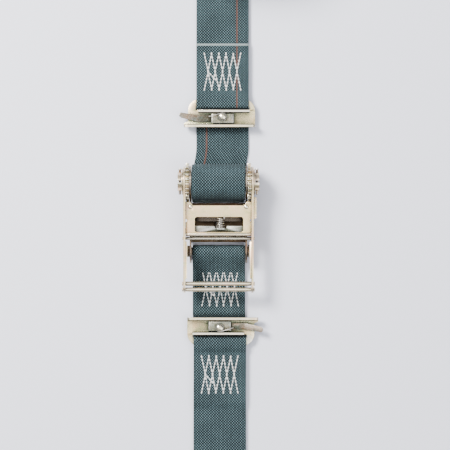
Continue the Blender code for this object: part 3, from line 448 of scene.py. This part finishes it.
def tubeMesh(name, points, radius, sides):
    curve = bpy.data.curves.new(name, "CURVE")
    curve.dimensions = "3D"
    curve.bevel_depth = radius
    curve.bevel_resolution = sides
    curve.use_fill_caps = True
    spline = curve.splines.new("POLY")
    spline.points.add(len(points) - 1)
    for point, co in zip(spline.points, points):
        point.co = (*co, 1)
    holder = bpy.data.objects.new(name, curve)
    bpy.context.scene.collection.objects.link(holder)
    bpy.context.view_layer.update()
    mesh = bpy.data.meshes.new_from_object(holder.evaluated_get(bpy.context.evaluated_depsgraph_get()))
    bpy.data.objects.remove(holder)
    shape = bmesh.new()
    shape.from_mesh(mesh)
    bmesh.ops.remove_doubles(shape, verts=shape.verts, dist=tubeFinish["weld"])
    shape.to_mesh(mesh)
    shape.free()
    mesh.shade_smooth()
    mesh.set_sharp_from_angle(angle=math.radians(tubeFinish["crease"]))
    return mesh


def windSpring(node, look):
    low, high = (Vector(corner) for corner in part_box(node))
    centre = (low + high) / 2
    radius = (high.x - low.x) / 2 - look["wire"]
    start = low.y + look["wire"]
    span = high.y - low.y - 2 * look["wire"]
    count = int(look["turns"] * look["steps"])
    closed = look["closedTurns"] / look["turns"]
    points = []
    for i in range(count + 1):
        share = i / count
        opened = min(max((share - closed / 2) / (1 - closed), 0), 1)
        pitch = 0.5 * (share + opened)
        turn = 2 * math.pi * i / look["steps"]
        x = centre.x + radius * math.cos(turn)
        z = centre.z + radius * math.sin(turn)
        points.append((x, start + span * pitch, z))
    wire = tubeMesh(node, points, look["wire"], look["sides"])
    piece = linkPiece(pieceName(node), wire, plated["spring_steel"])
    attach(piece, bodyOf[node])
    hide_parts(node)


for node in woundSprings:
    windSpring(node, springWinding)
for node in latchSprings:
    frame["nodes"][node].material_slots[0].material = plated[finishOf[node]]
print("springs wound")

# webbing paths

strap = {"width": 0.0508, "thick": 0.0018, "ply": 0.0021, "columns": 24, "selvage": 0.0009, "fineStep": 0.0022,
         "coarseStep": 0.0042, "ripple": 0.00008, "edgeWander": 0.00035, "crease": 60}


def arcPoints(centre, radius, start, end, step=7):
    count = max(2, int(abs(end - start) / step))
    points = []
    for i in range(count + 1):
        angle = math.radians(start + (end - start) * i / count)
        points.append((centre[0] + radius * math.cos(angle), centre[1] + radius * math.sin(angle)))
    return points


def eased(share):  # 0 to 1 with a soft start and end
    t = min(max(share, 0), 1)
    return t * t * (3 - 2 * t)


def easedSlope(start, end, count=8):
    points = []
    for i in range(count + 1):
        t = i / count
        points.append((start[0] + (end[0] - start[0]) * t, start[1] + (end[1] - start[1]) * eased(t)))
    return points


def evenly(path, step):  # points at even steps along a (y, z) path, with the length run at each
    runs = [0.0]
    for a, b in zip(path, path[1:]):
        runs.append(runs[-1] + math.dist(a, b))
    count = max(2, round(runs[-1] / step))
    points = []
    place = 0
    for i in range(count + 1):
        want = runs[-1] * i / count
        while place < len(runs) - 2 and runs[place + 1] < want:
            place += 1
        span = runs[place + 1] - runs[place]
        t = (want - runs[place]) / span if span > 0 else 0
        a, b = path[place], path[place + 1]
        points.append((a[0] + (b[0] - a[0]) * t, a[1] + (b[1] - a[1]) * t, want))
    return points, runs[-1]


# webbing along (y, z) paths, each with its step; drift gives the middle's x at a y
def ribbon(name, sections, drift, material, look, seed=0.0):
    rows = []
    total = 0.0
    for path, step in sections:
        points, length = evenly(path, step)
        if rows:
            points = points[1:]
        rows += [(y, z, total + run) for y, z, run in points]
        total += length
    half = look["width"] / 2
    columns = look["columns"]
    shape = bmesh.new()
    uvLayer = shape.loops.layers.uv.new("strapUv")
    placed = []
    for i, (y, z, run) in enumerate(rows):
        before = rows[max(i - 1, 0)]
        after = rows[min(i + 1, len(rows) - 1)]
        ty, tz = after[0] - before[0], after[1] - before[1]
        size = math.hypot(ty, tz) or 1.0
        normalY, normalZ = -tz / size, ty / size
        middle = drift(y) + look["edgeWander"] * (noise.noise(Vector((run * 9, seed, 0))))
        top, bottom = [], []
        for j in range(columns + 1):
            share = 2 * j / columns - 1
            u = half * share
            rim = max(0.0, 1 - (half - abs(u)) / look["selvage"])
            wall = look["thick"] / 2 * (1 - 0.45 * rim)
            lift = look["ripple"] * noise.noise(Vector((u * 60, run * 30, seed)))
            for side, sign in ((top, 1), (bottom, -1)):
                offset = sign * wall + lift * (0.5 + 0.5 * sign)
                place = (middle + u, y + normalY * offset, z + normalZ * offset)
                side.append((shape.verts.new(place), u, run))
        placed.append((top, bottom))

    def face(corners):
        made = shape.faces.new([corner[0] for corner in corners])
        made.smooth = True
        for loop, (_, u, run) in zip(made.loops, corners):
            loop[uvLayer].uv = (u, run)

    for (topA, bottomA), (topB, bottomB) in zip(placed, placed[1:]):
        for j in range(columns):
            face((topA[j], topA[j + 1], topB[j + 1], topB[j]))
            face((bottomB[j], bottomB[j + 1], bottomA[j + 1], bottomA[j]))
        face((topB[0], bottomB[0], bottomA[0], topA[0]))
        face((topA[columns], bottomA[columns], bottomB[columns], topB[columns]))
    for top, bottom in (placed[0], placed[-1]):
        for j in range(columns):
            face((top[j + 1], top[j], bottom[j], bottom[j + 1]))
    bmesh.ops.recalc_face_normals(shape, faces=shape.faces)
    mesh = bpy.data.meshes.new(name)
    shape.to_mesh(mesh)
    shape.free()
    mesh.set_sharp_from_angle(angle=math.radians(look["crease"]))
    return linkPiece(name, mesh, material), total


def layerZ(count):
    return strap["thick"] / 2 + count * strap["ply"]


fittingLoop = {"plateBottom": 0.0042, "plateTop": 0.0064, "barFromRivet": 0.0102, "edgeFromRivet": 0.0185,
               "endPastFlex": 0.001, "bendBefore": 0.006, "bendAfter": 0.004}


def fittingPath(side, away, look):  # round a slot bar, from the back layer to the front one
    rivetY = joints[side + "_latch_pivot"]["pos_m"][1]
    flexY = joints[side + "_fitting_swing"]["pos_m"][1]
    back = layerZ(1)
    front = look["plateTop"] + (look["plateBottom"] - back)
    turnY = rivetY + away * look["barFromRivet"]
    edgeY = rivetY + away * look["edgeFromRivet"]
    turn = arcPoints((turnY, (front + back) / 2), (front - back) / 2, 270, 90)
    bend = [(turnY + away * (y - turnY), z) for y, z in turn]
    slope = easedSlope((edgeY, front), (flexY + away * look["endPastFlex"], layerZ(2)))
    return [(flexY, back)] + bend + slope


def bendWithFitting(piece):  # only bakes the piece's placement into its mesh and bends nothing; away, in fittingPath, is the side of the flex line that the strap lies on
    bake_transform(piece)


# adjustable strap: spool turns, lead, stored roll, end with its sewn tail

spoolWinding = {"inner": 0.0102, "outer": 0.01745, "turns": 3.5, "steps": 48, "slotReach": 0.0085,
                "climb": 0.0022}
storedRoll = {"doubleTurns": 8.7, "steps": 64, "leadIn": 0.001}
leadShift = {"start": 0.004, "length": 0.030}


def levelDrift(x):
    return lambda y: x


def windSpool(look):
    path = [(spindle.y, spindle.z - look["slotReach"]), (spindle.y, spindle.z + look["inner"] - look["climb"])]
    steps = int(look["turns"] * look["steps"])
    for i in range(2, steps + 1):
        share = i / steps
        angle = math.pi / 2 + 2 * math.pi * look["turns"] * share
        radius = look["inner"] + (look["outer"] - look["inner"]) * share
        path.append((spindle.y + radius * math.cos(angle), spindle.z + radius * math.sin(angle)))
    piece, length = ribbon("spoolWebbing", [(path, strap["fineStep"])], levelDrift(0.0),
                           webbed["strapWebbing"], strap, seed=3.0)
    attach(piece, "spool")
    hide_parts("webbing_on_spool")
    return length


def rollSpiral(inset, look):
    low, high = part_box("strap_roll")
    radius = (high[2] - low[2]) / 2
    centre = ((low[1] + high[1]) / 2, (low[2] + high[2]) / 2)
    outer = radius - inset
    pitch = 2 * strap["ply"]
    steps = int(look["doubleTurns"] * look["steps"])
    points = []
    for i in range(steps + 1):
        turn = look["doubleTurns"] * i / steps
        angle = -math.pi / 2 + 2 * math.pi * turn
        points.append((centre[0] + (outer - pitch * turn) * math.cos(angle),
                       centre[1] + (outer - pitch * turn) * math.sin(angle)))
    return centre, points


def leadDrift(y):  # from the middle of the spool over to the middle of the upper fitting
    share = (y - spindle.y - leadShift["start"]) / leadShift["length"]
    return joints["upper_latch_pivot"]["pos_m"][0] * eased(share)


def adjustableStrap():
    centre, spiral = rollSpiral(layerZ(0), storedRoll)
    rollY = centre[0] - storedRoll["leadIn"]
    lead = [(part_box("adjustable_strap_lead")[0][1], layerZ(0)), (rollY, layerZ(0))]
    sections = [(lead, strap["fineStep"]), ([lead[-1]] + spiral[1:], strap["coarseStep"])]
    piece, length = ribbon("adjustableStrapLead", sections, leadDrift, webbed["strapWebbingLead"], strap,
                           seed=11.0)
    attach(piece, "frame")
    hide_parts("adjustable_strap_lead")
    print("adjustable strap, lead and outer half of the roll:", round(length, 3))

    swing = joints["upper_fitting_swing"]["pos_m"]
    loop = fittingPath("upper", 1, fittingLoop)
    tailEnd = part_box("adjustable_strap_tail")[1][1]
    tail = [(tailEnd, layerZ(2)), (swing[1] + fittingLoop["endPastFlex"], layerZ(2))]
    _, spiral = rollSpiral(layerZ(1), storedRoll)
    run = [(swing[1], layerZ(1)), (rollY, layerZ(1))]
    sections = [(tail + loop[::-1] + run, strap["fineStep"]), ([run[-1]] + spiral[1:], strap["coarseStep"])]
    piece, length = ribbon("adjustableStrapEnd", sections, levelDrift(swing[0]),
                           webbed["strapWebbingEnd"], strap, seed=19.0)
    bendWithFitting(piece)
    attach(piece, "frame")
    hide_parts("adjustable_strap_end", "adjustable_strap_tail", "strap_roll", "upper_strap_loop")
    print("adjustable strap, end and inner half of the roll:", round(length, 3))


# fixed strap: sewn end round the pin, run, fold, and the return to the lower fitting

pinLoop = {"radius": 0.0052, "rampUp": 0.018, "meetBack": 0.0035, "meetLift": 0.0006, "wrapFrom": -98,
           "wrapTo": 88, "rampDown": 0.024, "rampSteps": 14, "stepDown": 0.006, "shiftOver": 0.02}
strapFold = {"underlap": 0.008, "tailGap": 0.001, "tailRamp": 0.009, "overFrom": 0.012, "overTo": 0.001,
             "crown": 0.985}


def fixedStrap(pinLook, foldLook):
    rivet = joints["lower_latch_pivot"]["pos_m"]
    swing = joints["lower_fitting_swing"]["pos_m"]
    pinLow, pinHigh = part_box("strap_pin_nut")
    pin = ((pinLow[1] + pinHigh[1]) / 2, (pinLow[2] + pinHigh[2]) / 2)
    foldLow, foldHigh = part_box("fixed_strap_fold")
    loopLow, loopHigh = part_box("fixed_strap_pin_loop")
    near = (loopLow[0] + loopHigh[0]) / 2
    radius = pinLook["radius"]
    tailEnd = loopLow[1]
    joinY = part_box("fixed_strap_run")[1][1]

    def drift(y):
        t = min(max((tailEnd - y) / pinLook["shiftOver"], 0), 1)
        return near + (rivet[0] - near) * t

    tail = [(tailEnd, layerZ(0)), (pin[0] - pinLook["rampUp"], layerZ(0))]
    meet = (pin[0] - pinLook["meetBack"], pin[1] - radius + pinLook["meetLift"])
    tail += easedSlope(tail[-1], meet)[1:]
    wrap = arcPoints(pin, radius, pinLook["wrapFrom"], pinLook["wrapTo"])
    down = easedSlope(wrap[-1], (pin[0] - pinLook["rampDown"], layerZ(1)), pinLook["rampSteps"])[1:]
    run = down + [(joinY, layerZ(1)), (tailEnd, layerZ(1))]
    run += easedSlope((tailEnd, layerZ(1)), (tailEnd - pinLook["stepDown"], layerZ(0)))[1:]
    foldR = (foldHigh[2] - foldLow[2] - strap["thick"]) / 2
    foldC = (foldLow[1] + foldR + strap["thick"] / 2, foldLow[2] + foldR + strap["thick"] / 2)
    under = [(foldC[0] + foldLook["underlap"], layerZ(0))]
    under += arcPoints(foldC, foldR, 270, 180)
    piece, length = ribbon("fixedStrapRun", [(tail + wrap + run + under, strap["fineStep"])], drift,
                           webbed["strapWebbing"], strap, seed=29.0)
    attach(piece, "frame")
    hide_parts("fixed_strap_pin_loop", "fixed_strap_run", "fixed_strap_fold")
    print("fixed strap, pin loop and run:", round(length, 3))

    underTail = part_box("fixed_strap_tail")[0][1]
    loop = fittingPath("lower", -1, fittingLoop)
    back = [(underTail, layerZ(1)), (swing[1] - fittingLoop["endPastFlex"], layerZ(1))]
    top = [(swing[1], layerZ(2)), (underTail - foldLook["tailGap"], layerZ(2))]
    top += easedSlope(top[-1], (underTail - foldLook["tailRamp"], layerZ(1)))[1:]
    crown = (foldC[0] + foldLook["overTo"], foldC[1] + foldR * foldLook["crown"])
    over = easedSlope((foldC[0] + foldLook["overFrom"], layerZ(1)), crown)
    over += arcPoints(foldC, foldR, 90, 180)
    path = back + loop + top + over
    piece, length = ribbon("fixedStrapReturn", [(path, strap["fineStep"])], levelDrift(rivet[0]),
                           webbed["strapWebbing"], strap, seed=37.0)
    bendWithFitting(piece)
    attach(piece, "frame")
    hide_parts("fixed_strap_tail", "fixed_strap_return", "lower_strap_loop")
    print("fixed strap, return and loop:", round(length, 3))


print("spool turns:", round(windSpool(spoolWinding), 3))
adjustableStrap()
fixedStrap(pinLoop, strapFold)

# sewn blocks: two tiers of zigzag thread, laid by Geometry Nodes

sewing = {"peaks": 6, "period": 0.0070, "height": 0.0350, "stitch": 0.0030, "gap": 0.0001, "thread": 0.00062,
          "cornerInset": 0.0004, "shake": 0.0005, "looseEnd": ((0.0022, -0.0030), (0.0050, -0.0052))}


def stitchTree():
    tree = bpy.data.node_groups.new("zigzagStitches", "GeometryNodeTree")
    tree.interface.new_socket("Geometry", in_out="INPUT", socket_type="NodeSocketGeometry")
    for label, value in (("stitchLength", 0.0027), ("stitchGap", 0.0004), ("threadRadius", 0.0005)):
        socket = tree.interface.new_socket(label, in_out="INPUT", socket_type="NodeSocketFloat")
        socket.default_value = value
    tree.interface.new_socket("threadMaterial", in_out="INPUT", socket_type="NodeSocketMaterial")
    tree.interface.new_socket("Geometry", in_out="OUTPUT", socket_type="NodeSocketGeometry")
    nodes, links = tree.nodes, tree.links
    given = nodes.new("NodeGroupInput").outputs
    legs = nodes.new("GeometryNodeMeshToCurve")
    links.new(given["Geometry"], legs.inputs[0])
    spaced = nodes.new("GeometryNodeResampleCurve")
    spaced.mode = "LENGTH"
    pitch = nodes.new("ShaderNodeMath")
    pitch.operation = "ADD"
    links.new(given["stitchLength"], pitch.inputs[0])
    links.new(given["stitchGap"], pitch.inputs[1])
    links.new(legs.outputs[0], spaced.inputs["Curve"])
    links.new(pitch.outputs[0], spaced.inputs["Length"])
    tangent = nodes.new("GeometryNodeInputTangent")
    aim = nodes.new("FunctionNodeAlignRotationToVector")
    aim.axis = "X"
    links.new(tangent.outputs[0], aim.inputs["Vector"])
    bead = nodes.new("GeometryNodeMeshUVSphere")
    bead.inputs["Segments"].default_value = 8
    bead.inputs["Rings"].default_value = 6
    bead.inputs["Radius"].default_value = 1.0
    half = nodes.new("ShaderNodeMath")
    half.operation = "MULTIPLY"
    half.inputs[1].default_value = 0.54
    links.new(given["stitchLength"], half.inputs[0])
    size = nodes.new("ShaderNodeCombineXYZ")
    links.new(half.outputs[0], size.inputs[0])
    links.new(given["threadRadius"], size.inputs[1])
    links.new(given["threadRadius"], size.inputs[2])
    each = nodes.new("GeometryNodeInstanceOnPoints")
    links.new(spaced.outputs[0], each.inputs["Points"])
    links.new(bead.outputs["Mesh"], each.inputs["Instance"])
    links.new(aim.outputs[0], each.inputs["Rotation"])
    links.new(size.outputs[0], each.inputs["Scale"])
    real = nodes.new("GeometryNodeRealizeInstances")
    links.new(each.outputs[0], real.inputs[0])
    smooth = nodes.new("GeometryNodeSetShadeSmooth")
    links.new(real.outputs[0], smooth.inputs[0])
    finish = nodes.new("GeometryNodeSetMaterial")
    links.new(smooth.outputs[0], finish.inputs["Geometry"])
    links.new(given["threadMaterial"], finish.inputs["Material"])
    links.new(finish.outputs[0], nodes.new("NodeGroupOutput").inputs[0])
    return tree


zigzagStitches = stitchTree()


def sewBlock(name, centre, top, seed, fitting):
    mesh = bpy.data.meshes.new(name)
    points, edges = [], []
    tier = sewing["height"] / 2
    for level in range(2):
        high = centre[1] + sewing["height"] / 2 - level * tier
        corners = []
        for i in range(2 * sewing["peaks"] - 1):
            x = centre[0] + (i / 2 - (sewing["peaks"] - 1) / 2) * sewing["period"]
            outer = (i % 2 == 0) if level == 0 else (i % 2 == 1)
            y = high - (sewing["cornerInset"] if outer else tier - sewing["cornerInset"])
            shake = sewing["shake"]
            x += shake * noise.noise(Vector((i * 3.1, level, seed)))
            y += shake * 1.6 * noise.noise(Vector((seed, i * 2.7, level)))
            corners.append((x, y, top))
        for a, b in zip(corners, corners[1:]):
            edges.append((len(points), len(points) + 1))
            points += [a, b]
    end = points[1]
    for x, y in sewing["looseEnd"]:
        edges.append((len(points), len(points) + 1))
        points += [end, (end[0] + x, end[1] + y, top)]
        end = points[-1]
    mesh.from_pydata(points, edges, [])
    piece = linkPiece(name, mesh, whiteThread)
    layer = piece.modifiers.new("stitches", "NODES")
    layer.node_group = zigzagStitches
    values = {"stitchLength": sewing["stitch"], "stitchGap": sewing["gap"], "threadRadius": sewing["thread"],
              "threadMaterial": whiteThread}
    for item in zigzagStitches.interface.items_tree:
        if item.in_out == "INPUT" and item.name in values:
            layer[item.identifier] = values[item.name]
    bakedCopy(piece)
    if fitting:
        bendWithFitting(piece)
    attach(piece, "frame")


upperX = joints["upper_latch_pivot"]["pos_m"][0]
lowerX = joints["lower_latch_pivot"]["pos_m"][0]
sewnBlocks = {  # x, distance from the spindle, layers of webbing below, seed, fitting it lies by, which only bakes its placement in
    "upperStitches": (upperX, 0.1070, 2, 1.0, "upper_fitting"),
    "middleStitches": (lowerX / 2 + 0.001, -0.1020, 1, 2.0, None),
    "lowerStitches": (lowerX, -0.1865, 2, 3.0, "lower_fitting"),
}
for name, (x, along, layers, seed, fitting) in sewnBlocks.items():
    sewBlock(name, (x, spindle.y + along), layerZ(layers) + strap["thick"] / 2, seed, fitting)
print("sewn blocks:", len(sewnBlocks))

# storage band round the roll

tieBand = {"wall": 0.0012, "wallShare": 0.95, "corner": 0.003, "cornerStep": 15, "columns": 8, "overlap": 0.02}


def storageTie(look):
    low, high = (Vector(corner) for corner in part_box("roll_tie"))
    middle = (low + high) / 2
    wall = look["wall"]
    x0, x1 = low.x + wall / 2, high.x - wall / 2
    z0, z1 = low.z + wall / 2, high.z - wall / 2
    radius = look["corner"]
    corners = (((x1 - radius, z0 + radius), 270), ((x1 - radius, z1 - radius), 0),
               ((x0 + radius, z1 - radius), 90), ((x0 + radius, z0 + radius), 180))
    path = []
    for centre, start in corners:
        path += arcPoints(centre, radius, start, start + 90, look["cornerStep"])
    path.append(path[0])
    half = (high.y - low.y) / 2
    shape = bmesh.new()
    uvLayer = shape.loops.layers.uv.new("strapUv")
    columns = look["columns"]
    run = 0.0
    rows = []
    for i, (x, z) in enumerate(path[:-1]):
        if i:
            run += math.dist(path[i - 1], path[i])
        row = []
        for j in range(columns + 1):
            row.append((shape.verts.new((x, middle.y + half * (2 * j / columns - 1), z)), j, run))
        rows.append(row)
    for a, b in zip(rows, rows[1:] + rows[:1]):
        for j in range(columns):
            made = shape.faces.new((a[j][0], a[j + 1][0], b[j + 1][0], b[j][0]))
            made.smooth = True
            for loop, corner in zip(made.loops, (a[j], a[j + 1], b[j + 1], b[j])):
                loop[uvLayer].uv = (corner[1] * 2 * half / columns, corner[2])
    mesh = bpy.data.meshes.new("rollTieBand")
    shape.to_mesh(mesh)
    shape.free()
    piece = linkPiece("rollTieBand", mesh, storageBand)
    wallModifier = piece.modifiers.new("wall", "SOLIDIFY")
    wallModifier.thickness = wall * look["wallShare"]
    wallModifier.offset = 0
    bakedCopy(piece)
    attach(piece, "frame")
    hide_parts("roll_tie")


storageTie(tieBand)

# the frame's own nodes carry their finish too, under the pieces that stand for them

for node in frame["nodes"].values():
    finish = plated.get(finishOf.get(node.name, slotOf.get(node.name)))
    if finish:
        for holder in node.material_slots:
            holder.material = finish
